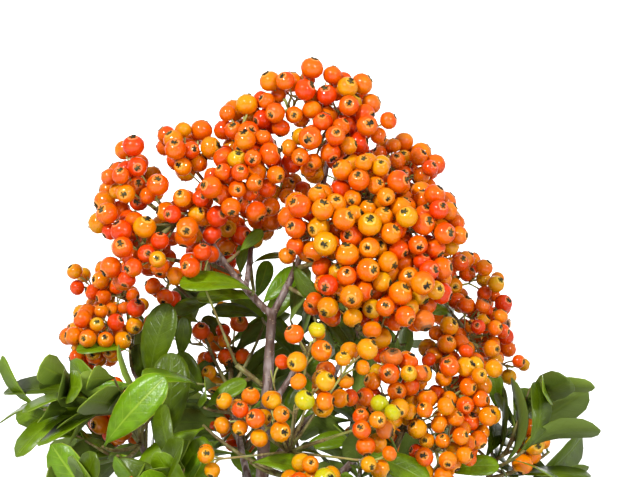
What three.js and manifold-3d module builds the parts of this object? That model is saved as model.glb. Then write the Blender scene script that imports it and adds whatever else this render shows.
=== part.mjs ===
// Firethorn shrub: a young, upright plant rooted in the ground, its crown heavy with orange berries.
// Millimetres, +Z up. The origin is the middle of the flat cut where the stem meets the ground.
// One leader rises to a fork. Its two arms carry the top of the crown, and boughs carry the rest.
// Each arm and bough ends in a spray: one solid of twigs, corymbs of berries and leaves, which
// keeps to its own space, so that no two solids touch.
import * as THREE from 'three';
import { LoftGeometry } from 'three/addons/geometries/LoftGeometry.js';
import { mergeVertices } from 'three/addons/utils/BufferGeometryUtils.js';
import Module from 'manifold-3d';

const wasm = await Module();
wasm.setup();

// Driving dimensions. A direction is [azimuth, elevation] in degrees, azimuth from +X towards +Y.

const clearance = 0.3; // between two limbs, and between a limb and its spray
const spaceGap = 1; // between the spaces of two neighbouring sprays
const goldenAngle = Math.PI * (3 - Math.sqrt(5));

const stem = {
  height: 243, // from the ground to the fork
  lean: 2.7, // sideways, at the fork
  sway: 3,
  footRadius: 5,
  forkRadius: 1.7,
  flare: 3.4, // added to the radius at the ground
  flareHeight: 10,
  rings: 10,
  sides: 9,
};

const arms = [
  { name: 'arm_left', tip: [-27, 2, 280], knee: [-15, -1, 258] },
  { name: 'arm_right', tip: [24, 9, 302], knee: [19, 7, 271] },
];
const armRadii = { foot: 1.5, tip: 1.1 };

const bough = {
  footRadius: 2.6, // where it leaves the stem near the ground
  slimming: 1.3, // how much thinner its foot is by the fork
  tipRadius: 1.1,
  entry: 0.55, // how far from the spray's centre the bough ends, as a share of its reach
  shortest: 14, // a spray nearer than this to its carrier grows straight from it
  rings: 4,
  sides: 5,
};

// The upper crown. A spray grows from its carrier at the share along of its length, on a bough of
// its own where it stands away from it. It faces the way that its corymbs look.
const upperSprays = [
  { name: 'left', carrier: 'arm_left', along: 1, centre: [-43, -3, 280], faces: [252, 30],
    reach: 40, corymbs: 3, ring: 17, turn: 10, leaves: 8 },
  { name: 'top_left', carrier: 'arm_left', along: 0.75, centre: [-16, 0, 302], faces: [255, 42],
    reach: 38, corymbs: 3, ring: 16, turn: 60, leaves: 6 },
  { name: 'top', carrier: 'arm_right', along: 1, centre: [20, 0, 318], faces: [280, 30],
    reach: 40, corymbs: 3, ring: 14, turn: 30, leaves: 6 },
  { name: 'right', carrier: 'arm_right', along: 0.3, centre: [41, -17, 270], faces: [283, 14],
    reach: 50, corymbs: 6, ring: 22, turn: 18, leaves: 8 },
  { name: 'fork', carrier: 'arm_left', along: 0.3, centre: [-5, 28, 281], faces: [270, 20],
    reach: 34, corymbs: 1, ring: 0, turn: 0, leaves: 9 },
  { name: 'back_top', carrier: 'arm_right', along: 0.6, centre: [46, 40, 294], faces: [65, 35],
    reach: 43, corymbs: 3, ring: 15, turn: 30, leaves: 10 },
  { name: 'back_left', carrier: 'arm_left', along: 0.55, centre: [-38, 44, 266], faces: [125, 35],
    reach: 43, corymbs: 2, ring: 16, turn: 0, leaves: 11 },
  { name: 'shoulder_left', carrier: 'stem', along: 0.6, centre: [-67, 30, 238], faces: [190, 22],
    reach: 42, corymbs: 3, ring: 16, turn: 90, leaves: 10 },
  { name: 'shoulder_right', carrier: 'stem', along: 0.64, centre: [84, 34, 240], faces: [350, 22],
    reach: 42, corymbs: 3, ring: 17, turn: 90, leaves: 10 },
  { name: 'back', carrier: 'stem', along: 0.75, centre: [48, 74, 246], faces: [85, 20],
    reach: 46, corymbs: 2, ring: 20, turn: 0, leaves: 13 },
  { name: 'front', carrier: 'stem', along: 0.56, centre: [12, -52, 207], faces: [277, 20],
    reach: 42, corymbs: 3, ring: 20, turn: 165, leaves: 9 },
  { name: 'lower_right', carrier: 'stem', along: 0.53, centre: [62, -16, 210], faces: [305, 20],
    reach: 42, corymbs: 3, ring: 18, turn: 30, leaves: 10 },
  { name: 'far_right', carrier: 'stem', along: 0.48, centre: [103, 3, 192], faces: [340, 5],
    reach: 40, corymbs: 1, ring: 0, turn: 0, leaves: 13 },
  { name: 'lower_left', carrier: 'stem', along: 0.5, centre: [-58, -10, 214], faces: [200, 20],
    reach: 42, corymbs: 1, ring: 0, turn: 0, leaves: 14 },
  { name: 'front_left', carrier: 'stem', along: 0.4, centre: [-40, -40, 182], faces: [235, 15],
    reach: 42, corymbs: 1, ring: 0, turn: 0, leaves: 14 },
  { name: 'inner_front', carrier: 'stem', along: 0.88, centre: [-22, -16, 236], faces: [250, 30],
    reach: 44, corymbs: 0, ring: 0, turn: 0, leaves: 10 },
  { name: 'inner_right', carrier: 'stem', along: 0.85, centre: [24, 6, 238], faces: [280, 10],
    reach: 40, corymbs: 1, ring: 0, turn: 0, leaves: 10 },
  { name: 'inner_left', carrier: 'stem', along: 0.675, centre: [-20, 38, 226], faces: [250, 20],
    reach: 36, corymbs: 1, ring: 0, turn: 0, leaves: 11 },
];

// Below it, tiers of sprays stand round the stem, each tier turned on from the one above.
const tiers = [
  { name: 'rear', count: 3, start: 40, step: 62, along: 0.37, climb: 0.02, height: 188, spread: 62,
    reach: 46, leaves: 13 },
  { name: 'middle', count: 4, start: 10, step: 92, along: 0.25, climb: 0.035, height: 132, spread: 60,
    reach: 50, leaves: 15 },
  { name: 'low', count: 4, start: 55, step: 88, along: 0.1, climb: 0.035, height: 72, spread: 52,
    reach: 48, leaves: 15 },
];
const tierSpray = { elevation: 8, corymbs: 1, ring: 0, turn: 20 };

const corymb = {
  radius: 12.5, // from its middle to the middle of its berries
  inner: 56, // degrees that its berries lean away from its axis, past the one in the middle
  outer: 84,
  berries: 4,
  spread: 0.5, // how far the outer corymbs of a spray lean away from its axis
  setBack: 0.35, // of its middle behind the spray's, as a share of its radius
};
const berry = { radius: 6, flatness: 0.9 }; // larger than life, because they are fewer
const stalkRadius = 0.6;
const twigRadius = 1.1;
const leaf = {
  length: 45, // larger than life, because they are fewer
  shortest: 0.75, // as a share of the longest
  width: 0.42,
  thickness: 0.04,
  widestAt: 0.6,
  rootDepth: 0.7, // how far its root is sunk past the middle of its twig
};

const leafTries = 8; // for each leaf of a spray
const crownSeed = 2; // another seed deals the berries and leaves another way

const materials = {
  bark: new THREE.MeshStandardMaterial({ color: 0x6b5347, roughness: 0.75, metalness: 0 }),
  foliage: new THREE.MeshStandardMaterial({ color: 0x3f7a1e, roughness: 0.4, metalness: 0 }),
  fruit: new THREE.MeshStandardMaterial({ color: 0xf2660c, roughness: 0.25, metalness: 0 }),
};

// Helpers

const vector = (values) => new THREE.Vector3(...values);
const radians = THREE.MathUtils.degToRad;
const mix = THREE.MathUtils.lerp;

function direction([azimuth, elevation]) {
  const level = Math.cos(radians(elevation));
  return vector([
    level * Math.cos(radians(azimuth)),
    level * Math.sin(radians(azimuth)),
    Math.sin(radians(elevation)),
  ]);
}

// Two unit vectors square to a direction and to each other. The first one is level.
function squareTo(way) {
  const side = vector([-way.y, way.x, 0]);
  if (side.length() < 1e-6) side.set(1, 0, 0);
  side.normalize();
  return [side, way.clone().cross(side).normalize()];
}

// The direction that leans away from an axis by an angle, at a turn round it.
function aroundAxis(axis, lean, turn) {
  const [side, rise] = squareTo(axis);
  return axis.clone().multiplyScalar(Math.cos(lean))
    .addScaledVector(side, Math.sin(lean) * Math.cos(turn))
    .addScaledVector(rise, Math.sin(lean) * Math.sin(turn));
}

function seededRandom(seed) {
  let state = Math.imul(seed + 1, 2654435761) >>> 0;
  return () => {
    state = (Math.imul(state, 1664525) + 1013904223) >>> 0;
    return state / 2 ** 32;
  };
}

function solid(geometry) {
  const bare = new THREE.BufferGeometry();
  bare.setAttribute('position', geometry.attributes.position);
  bare.setIndex(geometry.index);
  const merged = mergeVertices(bare, 1e-4);
  const mesh = new wasm.Mesh({
    numProp: 3,
    vertProperties: merged.attributes.position.array,
    triVerts: new Uint32Array(merged.index.array),
  });
  return new wasm.Manifold(mesh);
}

const join = (solids) => wasm.Manifold.union(solids);
const touches = (a, b) => !a.intersect(b).isEmpty();
const largestBody = (made) => made.decompose().reduce((a, b) => (b.volume() > a.volume() ? b : a));

function namedMesh(name, made, material) {
  const { vertProperties, triVerts } = made.getMesh();
  const geometry = new THREE.BufferGeometry();
  geometry.setAttribute('position', new THREE.BufferAttribute(vertProperties, 3));
  geometry.setIndex(new THREE.BufferAttribute(triVerts, 1));
  geometry.computeVertexNormals();
  const mesh = new THREE.Mesh(geometry, material);
  mesh.name = name;
  return mesh;
}

// A tube through points, with a radius at each. Its sections don't twist from one to the next.
function tube(points, radii, sides) {
  const runs = points.map((point, i) => {
    const next = points[Math.min(i + 1, points.length - 1)];
    return next.clone().sub(points[Math.max(i - 1, 0)]).normalize();
  });
  let [side] = squareTo(runs[0]);
  const sections = points.map((point, i) => {
    side = side.clone().addScaledVector(runs[i], -side.dot(runs[i])).normalize();
    const rise = runs[i].clone().cross(side);
    return Array.from({ length: sides }, (_, j) => {
      const angle = (2 * Math.PI * j) / sides;
      return point.clone()
        .addScaledVector(side, radii[i] * Math.cos(angle))
        .addScaledVector(rise, radii[i] * Math.sin(angle));
    });
  });
  return solid(new LoftGeometry(sections, { capStart: true, capEnd: true }));
}

// Limbs. Each one has its path, its solid, and a guard: the solid grown by the clearance, which is
// cut out of whatever grows from the limb.

function limb(name, path, points, radii, sides, carrier) {
  const grown = radii.map((radius) => radius + clearance);
  const end = points.at(-1);
  const beyond = end.clone().sub(points.at(-2)).setLength(clearance).add(end);
  const guard = tube([...points.slice(0, -1), beyond], grown, sides);
  const whole = tube(points, radii, sides);
  return { name, path, guard, solid: carrier ? largestBody(whole.subtract(carrier)) : whole };
}

function stemPoint(share) {
  const sideways = stem.lean * share ** 3 - stem.sway * Math.sin(Math.PI * share);
  return vector([sideways, 0.4 * stem.sway * Math.sin(2 * Math.PI * share), stem.height * share]);
}

function stemRadius(share) {
  const flare = stem.flare * Math.exp((-share * stem.height) / stem.flareHeight);
  return mix(stem.footRadius, stem.forkRadius, share) + flare;
}

// The stem's rings close up towards the root flare. Its first ring leans with the stem, so it starts
// a little below the ground and is cut off level there.
function makeStem() {
  const shares = Array.from({ length: stem.rings + 1 }, (_, i) => (i / stem.rings) ** 1.7);
  const points = shares.map(stemPoint);
  const radii = shares.map(stemRadius);
  const sunk = points[0].clone().lerp(points[1], -1);
  const soil = solid(new THREE.BoxGeometry(50, 50, 50).translate(0, 0, -25));
  const path = { getPoint: stemPoint };
  return limb('stem', path, [sunk, ...points], [radii[0], ...radii], stem.sides, soil);
}

function makeArm({ name, tip, knee }, carrier) {
  const foot = stemPoint(0.995);
  const path = new THREE.QuadraticBezierCurve3(foot, vector(knee), vector(tip));
  return taperedLimb(name, path, armRadii.foot, armRadii.tip, carrier);
}

function taperedLimb(name, path, footRadius, tipRadius, carrier) {
  const points = path.getSpacedPoints(bough.rings);
  const radii = points.map((_, i) => mix(footRadius, tipRadius, i / bough.rings));
  return limb(name, path, points, radii, bough.sides, carrier);
}

// A bough leaves its carrier at a wide angle, turns up, and ends where it enters its spray. A spray
// close to its carrier has none.
function makeBough(spray, limbs) {
  const carrier = limbs.find(({ name }) => name === spray.carrier);
  const foot = carrier.path.getPoint(spray.along);
  const tip = vector(spray.centre);
  tip.addScaledVector(foot.clone().sub(tip).normalize(), bough.entry * spray.reach);
  if (foot.distanceTo(tip) < bough.shortest) return null;
  const knee = foot.clone().lerp(tip, 0.6);
  knee.z = mix(foot.z, tip.z, 0.4);
  const path = new THREE.QuadraticBezierCurve3(foot, knee, tip);
  const height = foot.z / stem.height;
  const footRadius = Math.max(bough.footRadius - bough.slimming * height, bough.tipRadius);
  return taperedLimb(`bough_${spray.name}`, path, footRadius, bough.tipRadius, carrier.guard);
}

function tierSprays(tier) {
  return Array.from({ length: tier.count }, (_, i) => {
    const azimuth = tier.start + tier.step * i;
    const out = direction([azimuth, 0]).multiplyScalar(tier.spread);
    return {
      ...tierSpray,
      name: `${tier.name}_${i + 1}`,
      carrier: 'stem',
      along: tier.along + tier.climb * i,
      centre: [out.x, out.y, tier.height + tier.climb * stem.height * i],
      faces: [azimuth, tierSpray.elevation],
      reach: tier.reach,
      leaves: tier.leaves,
    };
  });
}

// A spray's space is the ball of its reach round its centre, less what lies nearer to a neighbour.
function inSpace(point, spray, sprays) {
  if (point.z < spaceGap || point.distanceTo(vector(spray.centre)) > spray.reach) return false;
  const power = (other) => point.distanceToSquared(vector(other.centre)) - other.reach ** 2;
  return sprays.every((other) => {
    if (other === spray) return true;
    const apart = vector(spray.centre).distanceTo(vector(other.centre));
    return power(other) - power(spray) > spaceGap * apart;
  });
}

function solidInSpace(made, spray, sprays) {
  const { vertProperties } = made.getMesh();
  const point = vector([0, 0, 0]);
  for (let i = 0; i < vertProperties.length; i += 3) {
    if (!inSpace(point.fromArray(vertProperties, i), spray, sprays)) return false;
  }
  return true;
}

// The stem of a spray runs from the tip of its limb to a fork, and a shoot runs from the fork to
// each corymb. The corymbs stand in a ring, with one more in the middle from six up.
function sprayPlan(spray, limbs) {
  const own = limbs.find(({ name }) => name === `bough_${spray.name}`);
  const carrier = own ?? limbs.find(({ name }) => name === spray.carrier);
  const foot = carrier.path.getPoint(own ? 1 : spray.along);
  const axis = direction(spray.faces);
  const centre = vector(spray.centre);
  const fork = foot.clone().lerp(centre.clone().addScaledVector(axis, -corymb.radius), 0.6);
  const inRing = spray.corymbs < 6 ? spray.corymbs : spray.corymbs - 1;
  const corymbs = Array.from({ length: spray.corymbs }, (_, i) => {
    const turn = radians(spray.turn) + (2 * Math.PI * i) / inRing;
    const outward = aroundAxis(axis, Math.PI / 2, turn);
    const offset = i < inRing ? spray.ring : 0;
    const aim = axis.clone().addScaledVector(outward, offset > 0 ? corymb.spread : 0).normalize();
    const middle = centre.clone()
      .addScaledVector(outward, offset)
      .addScaledVector(aim, -corymb.setBack * corymb.radius);
    return { middle, aim };
  });
  return { carrier, foot, fork, corymbs };
}

// The berries of a corymb spread over a dome round its middle. The first stands on the end of the
// shoot, and the stalks of the others leave the shoot one after the other, the outermost first.
function corymbSolids({ middle, aim }, fork, random) {
  const end = middle.clone().addScaledVector(aim, corymb.radius);
  const solids = [[tube([fork, middle, end], [1.2 * twigRadius, twigRadius, stalkRadius], 3)]];
  for (let i = 0; i < corymb.berries; i++) {
    const share = i / corymb.berries;
    const lean = i > 0 ? radians(mix(corymb.inner, corymb.outer, share)) : 0;
    const way = aroundAxis(aim, lean, goldenAngle * i + random());
    const place = middle.clone().addScaledVector(way, corymb.radius * mix(0.95, 1.1, random()));
    const foot = middle.clone().addScaledVector(aim, 0.5 * corymb.radius * (1 - share));
    const stalk = i > 0 ? [tube([foot, place], [stalkRadius, stalkRadius], 3)] : [];
    solids.push([makeBerry(place, way, random), ...stalk]);
  }
  return solids;
}

function makeBerry(place, way, random) {
  const fruit = new THREE.IcosahedronGeometry(berry.radius * mix(0.92, 1.05, random()), 0);
  fruit.scale(1, 1, berry.flatness);
  fruit.applyQuaternion(new THREE.Quaternion().setFromUnitVectors(vector([0, 0, 1]), way));
  return solid(fruit.translate(place.x, place.y, place.z));
}

// A leaf is a blade with a keel: a root, a tip, and three corners where it is widest.
function makeLeaf(root, way, roll, length) {
  const high = Math.sqrt(3) / 2;
  const corners = [-1, 0, 0, 1, 0, 0, 0, -high, 0.5, 0, high, 0.5, 0, 0, -1];
  const faces = [1, 3, 2, 1, 2, 4, 1, 4, 3, 0, 2, 3, 0, 4, 2, 0, 3, 4];
  const blade = new THREE.PolyhedronGeometry(corners, faces, 1, 0);
  const position = blade.attributes.position;
  for (let i = 0; i < position.count; i++) {
    if (Math.abs(position.getX(i)) < 0.5) position.setX(i, 2 * leaf.widestAt - 1);
  }
  blade.translate(1, 0, 0);
  blade.scale(length / 2, (length * leaf.width) / (2 * high), (length * leaf.thickness) / 1.5);
  blade.translate(-leaf.rootDepth, 0, 0);
  const across = aroundAxis(way, Math.PI / 2, roll);
  const frame = new THREE.Matrix4().makeBasis(way, across, way.clone().cross(across));
  return solid(blade.applyMatrix4(frame.setPosition(root)));
}

// Leaves stand along the stem and the shoots, each turned on from the last by the golden angle.
function nextLeaf({ foot, fork, corymbs }, index, random) {
  const twigs = [[foot, fork], ...corymbs.map(({ middle }) => [fork, middle])];
  const [from, to] = twigs[index % twigs.length];
  const place = from.clone().lerp(to, mix(0.2, 0.95, random()));
  const run = to.clone().sub(from).normalize();
  const way = aroundAxis(run, radians(mix(40, 85, random())), goldenAngle * index);
  return makeLeaf(place, way, Math.PI * random(), leaf.length * mix(leaf.shortest, 1, random()));
}

// A berry or a leaf that would leave the spray's space, or touch a limb, a berry or another leaf,
// is left out.
function makeSpray(spray, index, sprays, plan, limbGuards) {
  const random = seededRandom(crownSeed + index);
  const twigs = [tube([plan.foot, plan.fork], [bough.tipRadius, 1.2 * twigRadius], 4)];
  const grown = [];
  const fits = (made) =>
    solidInSpace(made, spray, sprays) && ![limbGuards, ...grown].some((other) => touches(made, other));
  for (const place of plan.corymbs) {
    const [[shoot], ...berries] = corymbSolids(place, plan.fork, random);
    twigs.push(shoot);
    for (const [fruit, ...stalk] of berries) {
      if (![fruit, ...stalk].every(fits)) continue;
      grown.push(fruit);
      twigs.push(...stalk);
    }
  }
  const berries = grown.length;
  for (let i = 0; i < leafTries * spray.leaves && grown.length < berries + spray.leaves; i++) {
    const blade = nextLeaf(plan, i, random);
    if (fits(blade)) grown.push(blade);
  }
  return largestBody(join([...twigs, ...grown]).subtract(plan.carrier.guard));
}

// Assembly

function makeLimbs(sprays) {
  const limbs = [makeStem()];
  let leader = limbs[0].guard;
  for (const arm of arms) {
    const made = makeArm(arm, leader);
    limbs.push(made);
    leader = leader.add(made.guard);
  }
  for (const spray of sprays) {
    const made = makeBough(spray, limbs);
    if (made) limbs.push(made);
  }
  return limbs;
}

function makeShrub() {
  const shrub = new THREE.Group();
  const sprays = [...upperSprays, ...tiers.flatMap(tierSprays)];
  const limbs = makeLimbs(sprays);
  for (const made of limbs) shrub.add(namedMesh(made.name, made.solid, materials.bark));
  const limbGuards = join(limbs.map(({ guard }) => guard));
  sprays.forEach((spray, i) => {
    const made = makeSpray(spray, i, sprays, sprayPlan(spray, limbs), limbGuards);
    const material = spray.corymbs > 1 ? materials.fruit : materials.foliage;
    shrub.add(namedMesh(`spray_${spray.name}`, made, material));
  });
  return shrub;
}

export default makeShrub();
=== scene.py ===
import math

import bpy
import numpy as np
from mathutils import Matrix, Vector


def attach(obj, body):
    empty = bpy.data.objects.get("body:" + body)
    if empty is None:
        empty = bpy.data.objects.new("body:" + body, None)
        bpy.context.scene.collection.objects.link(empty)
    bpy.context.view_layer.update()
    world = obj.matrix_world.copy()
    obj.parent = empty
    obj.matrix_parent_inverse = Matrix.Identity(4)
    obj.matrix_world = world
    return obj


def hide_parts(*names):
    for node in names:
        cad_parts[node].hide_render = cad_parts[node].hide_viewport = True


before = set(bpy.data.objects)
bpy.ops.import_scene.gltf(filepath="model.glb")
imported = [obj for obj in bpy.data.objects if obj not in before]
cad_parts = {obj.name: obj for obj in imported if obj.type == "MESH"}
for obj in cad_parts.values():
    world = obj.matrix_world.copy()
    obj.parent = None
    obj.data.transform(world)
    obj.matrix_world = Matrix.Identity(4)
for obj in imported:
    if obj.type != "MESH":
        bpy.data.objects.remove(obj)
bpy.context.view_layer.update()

# A firethorn shrub. Its limbs and crown grow by the rules of the frame's solids, in millimetres,
# and are scaled to metres where a mesh is made.

metre = 0.001  # one millimetre
goldenAngle = math.pi * (3 - math.sqrt(5))

shot = {
    "place": (18, -450, 271),
    "turn": (90, 0, 0),
    "lens": 68.2,
    "sensor": 36,
    "clip": (0.01, 50),  # in metres
}

studio = {
    "floorRadius": 2.4,
    "wallRadius": 3.2,
    "wallHeight": 2.4,
    "bendSteps": 8,  # from floor to wall
    "sides": 96,
    "sky": 0.46,
    "lights": [  # name, place, what it shines on, size, watts
        ("keyLight", (-0.6, -1.1, 1.05), (0.02, 0, 0.25), 0.2, 19.5),
        ("sideLight", (0.8, -1.1, 0.75), (0.02, 0, 0.25), 0.18, 9),
        ("wallLight", (0.0, 1.3, 1.5), (0.0, 3.2, 0.6), 1.2, 80),
    ],
}


def deselectAll():
    if bpy.context.object and bpy.context.object.mode != "OBJECT":
        bpy.ops.object.mode_set(mode="OBJECT")
    bpy.ops.object.select_all(action="DESELECT")


def selectOnly(*pieces):
    deselectAll()
    for piece in pieces:
        piece.select_set(True)
    bpy.context.view_layer.objects.active = pieces[0]


def applyAll(piece):
    selectOnly(piece)
    for modifier in list(piece.modifiers):
        bpy.ops.object.modifier_apply(modifier=modifier.name)


def makeCamera():
    deselectAll()
    place = [value * metre for value in shot["place"]]
    turn = [math.radians(value) for value in shot["turn"]]
    bpy.ops.object.camera_add(location=place, rotation=turn)
    camera = bpy.context.object
    camera.data.lens = shot["lens"]
    camera.data.sensor_width = shot["sensor"]
    camera.data.clip_start, camera.data.clip_end = shot["clip"]
    bpy.context.scene.camera = camera


def makeLights():
    for name, place, target, size, watts in studio["lights"]:
        deselectAll()
        bpy.ops.object.light_add(type="AREA", location=place)
        light = bpy.context.object
        light.name = name
        light.data.shape = "DISK"
        light.data.size = size
        light.data.energy = watts
        aim = Vector(target) - Vector(place)
        light.rotation_mode = "QUATERNION"
        light.rotation_quaternion = aim.to_track_quat("-Z", "Y")
    world = bpy.data.worlds.new("softbox")
    world.use_nodes = True
    sky = world.node_tree.nodes["Background"]
    sky.inputs["Color"].default_value = (1, 1, 1, 1)
    sky.inputs["Strength"].default_value = studio["sky"]
    bpy.context.scene.world = world
    bpy.context.scene.view_settings.view_transform = "Standard"


makeCamera()
makeLights()
print("camera and lights stand")


def colour(red, green, blue):
    def linear(value):
        share = value / 255
        return share / 12.92 if share <= 0.04045 else ((share + 0.055) / 1.055) ** 2.4
    return (linear(red), linear(green), linear(blue), 1)


def addNode(tree, kind, links, **settings):
    node = tree.nodes.new("ShaderNode" + kind)
    for key, value in settings.items():
        setattr(node, key, value)
    for socket, value in links.items():
        if isinstance(value, bpy.types.NodeSocket):
            tree.links.new(value, node.inputs[socket])
        else:
            node.inputs[socket].default_value = value
    return node


def compute(tree, operation, first, second=0.0, third=0.0):
    return addNode(tree, "Math", {0: first, 1: second, 2: third}, operation=operation).outputs[0]


def fade(tree, value, low, high, toMin=0.0, toMax=1.0):
    links = {"Value": value, "From Min": low, "From Max": high, "To Min": toMin, "To Max": toMax}
    return addNode(tree, "MapRange", links, interpolation_type="SMOOTHSTEP").outputs[0]


def blend(tree, mask, first, second):
    return addNode(tree, "Mix", {0: mask, 6: first, 7: second}, data_type="RGBA").outputs[2]


def cloud(tree, place, scale, detail=2.0):
    return addNode(tree, "TexNoise", {"Vector": place, "Scale": scale, "Detail": detail}).outputs["Fac"]


def newEffect(name, inputs):
    effect = bpy.data.node_groups.new(name, "ShaderNodeTree")
    for label, kind in inputs.items():
        effect.interface.new_socket(name=label, in_out="INPUT", socket_type="NodeSocket" + kind)
    for label, kind in {"Color": "Color", "Roughness": "Float", "Height": "Float"}.items():
        effect.interface.new_socket(name=label, in_out="OUTPUT", socket_type="NodeSocket" + kind)
    given = effect.nodes.new("NodeGroupInput").outputs
    result = effect.nodes.new("NodeGroupOutput").inputs
    place = effect.nodes.new("ShaderNodeTexCoord")
    return effect, given, result, place


def putOut(effect, result, **values):
    for socket, value in values.items():
        effect.links.new(value, result[socket])


# Glossy skin that pales round the calyx, with a faint flush and small pores.
def makeFruitSkin():
    tree, given, result, place = newEffect("fruitSkin", {
        "Skin": "Color", "Flush": "Color", "Halo": "Color", "Rim": "Color", "Reach": "Float"})
    spot = place.outputs["Object"]
    flush = fade(tree, cloud(tree, spot, 130), 0.42, 0.62)
    skin = blend(tree, flush, given["Skin"], given["Flush"])
    pores = addNode(tree, "TexVoronoi", {"Vector": spot, "Scale": 1500}).outputs["Distance"]
    pore = fade(tree, pores, 0.22, 0.1, 0.0, 0.12)
    skin = blend(tree, pore, skin, given["Halo"])
    calyx = addNode(tree, "Attribute", {}, attribute_name="calyx").outputs["Fac"]
    ragged = compute(tree, "ADD", calyx, compute(tree, "MULTIPLY", cloud(tree, spot, 900), 0.2))
    inward = compute(tree, "SUBTRACT", ragged, compute(tree, "SUBTRACT", 1.1, given["Reach"]))
    rim = fade(tree, compute(tree, "ABSOLUTE", compute(tree, "ADD", inward, 0.06)), 0.13, 0.02, 0, 0.5)
    skin = blend(tree, rim, skin, given["Rim"])
    halo = fade(tree, inward, 0.0, 0.12, 0.0, 0.85)
    putOut(tree, result,
           Color=blend(tree, halo, skin, given["Halo"]),
           Roughness=fade(tree, cloud(tree, spot, 260), 0.3, 0.7, 0.24, 0.36),
           Height=compute(tree, "MULTIPLY", cloud(tree, spot, 420), 0.5))
    return tree


# A blade's pattern on its own map: u runs from root to tip and v across.
def makeLeafBlade():
    tree, given, result, place = newEffect("leafBlade", {
        "Blade": "Color", "Vein": "Color", "Margin": "Color", "Underside": "Color"})
    axes = addNode(tree, "SeparateXYZ", {0: place.outputs["UV"]})
    along, across = axes.outputs[0], axes.outputs[1]
    out = compute(tree, "ABSOLUTE", compute(tree, "MULTIPLY_ADD", across, 2.0, -1.0))
    midrib = fade(tree, out, 0.09, 0.03)
    slant = compute(tree, "SUBTRACT", compute(tree, "MULTIPLY", along, 9.0),
                    compute(tree, "MULTIPLY", out, 1.7))
    stripe = compute(tree, "ABSOLUTE", compute(tree, "SUBTRACT", compute(tree, "FRACT", slant), 0.5))
    rib = compute(tree, "MULTIPLY", fade(tree, stripe, 0.1, 0.02), fade(tree, out, 0.98, 0.6))
    veins = compute(tree, "MAXIMUM", midrib, compute(tree, "MULTIPLY", rib, 0.42))
    mottle = fade(tree, cloud(tree, place.outputs["Object"], 240, 4.0), 0.25, 0.75, 0.78, 1.22)
    blade = addNode(tree, "VectorMath", {0: given["Blade"], "Scale": mottle}, operation="SCALE").outputs[0]
    upper = blend(tree, compute(tree, "MULTIPLY", veins, 0.62), blade, given["Vein"])
    upper = blend(tree, fade(tree, out, 0.93, 0.99), upper, given["Margin"])
    under = addNode(tree, "Attribute", {}, attribute_name="underside").outputs["Fac"]
    lower = blend(tree, compute(tree, "MULTIPLY", veins, 0.5), given["Underside"], given["Vein"])
    putOut(tree, result,
           Color=blend(tree, under, upper, lower),
           Roughness=compute(tree, "MULTIPLY_ADD", under, 0.25, 0.3),
           Height=compute(tree, "SUBTRACT", cloud(tree, place.outputs["Object"], 900), veins))
    return tree


# Young bark: brown, with paler streaks that are partly its grey skin and partly painted sheen, and pale
# pores.
def makeBarkSkin():
    tree, given, result, place = newEffect("barkSkin", {
        "Brown": "Color", "Silver": "Color", "Pore": "Color"})
    spot = place.outputs["Object"]
    drawn = addNode(tree, "Mapping", {"Vector": spot, "Scale": (1, 1, 0.22)}).outputs[0]
    streak = fade(tree, cloud(tree, drawn, 520, 5.0), 0.38, 0.62)
    broad = fade(tree, cloud(tree, spot, 90), 0.3, 0.6)
    # The paler streaks are partly the bark's grey skin and partly a painted sheen.
    skin = blend(tree, compute(tree, "MULTIPLY", streak, broad), given["Brown"], given["Silver"])
    flat = addNode(tree, "Mapping", {"Vector": spot, "Scale": (1, 1, 1.7)}).outputs[0]
    dots = addNode(tree, "TexVoronoi", {"Vector": flat, "Scale": 480}).outputs["Distance"]
    pore = fade(tree, dots, 0.26, 0.14)
    lift = compute(tree, "ADD", compute(tree, "MULTIPLY", pore, 0.7), cloud(tree, drawn, 900, 4.0))
    putOut(tree, result,
           Color=blend(tree, compute(tree, "MULTIPLY", pore, 0.65), skin, given["Pore"]),
           Roughness=fade(tree, streak, 0.0, 1.0, 0.62, 0.42),
           Height=lift)
    return tree


# Green stalks that brown in patches.
def makeStalkSkin():
    tree, given, result, place = newEffect("stalkSkin", {"Green": "Color", "Tan": "Color"})
    spot = place.outputs["Object"]
    patch = fade(tree, cloud(tree, spot, 110, 3.0), 0.45, 0.65)
    fine = cloud(tree, spot, 1400, 2.0)
    putOut(tree, result,
           Color=blend(tree, patch, given["Green"], given["Tan"]),
           Roughness=fade(tree, fine, 0.3, 0.7, 0.45, 0.6),
           Height=fine)
    return tree


# A finish gives its effect a colour or a number for each input, in the effect's own order.
def makeFinish(name, effect, values, bump, settings):
    material = bpy.data.materials.new(name)
    material.use_nodes = True
    tree = material.node_tree
    shader = tree.nodes["Principled BSDF"]
    for socket, value in settings.items():
        shader.inputs[socket].default_value = value
    pattern = addNode(tree, "Group", {}, node_tree=effect)
    for socket, value in zip(pattern.inputs, values):
        socket.default_value = value if isinstance(value, float) else colour(*value)
    for output, socket in {"Color": "Base Color", "Roughness": "Roughness"}.items():
        tree.links.new(pattern.outputs[output], shader.inputs[socket])
    strength, depth = bump
    links = {"Height": pattern.outputs["Height"], "Strength": strength, "Distance": depth * metre}
    tree.links.new(addNode(tree, "Bump", links).outputs[0], shader.inputs["Normal"])
    return material


fruitSkin = makeFruitSkin()
leafBlade = makeLeafBlade()
barkSkin = makeBarkSkin()
stalkSkin = makeStalkSkin()

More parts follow.
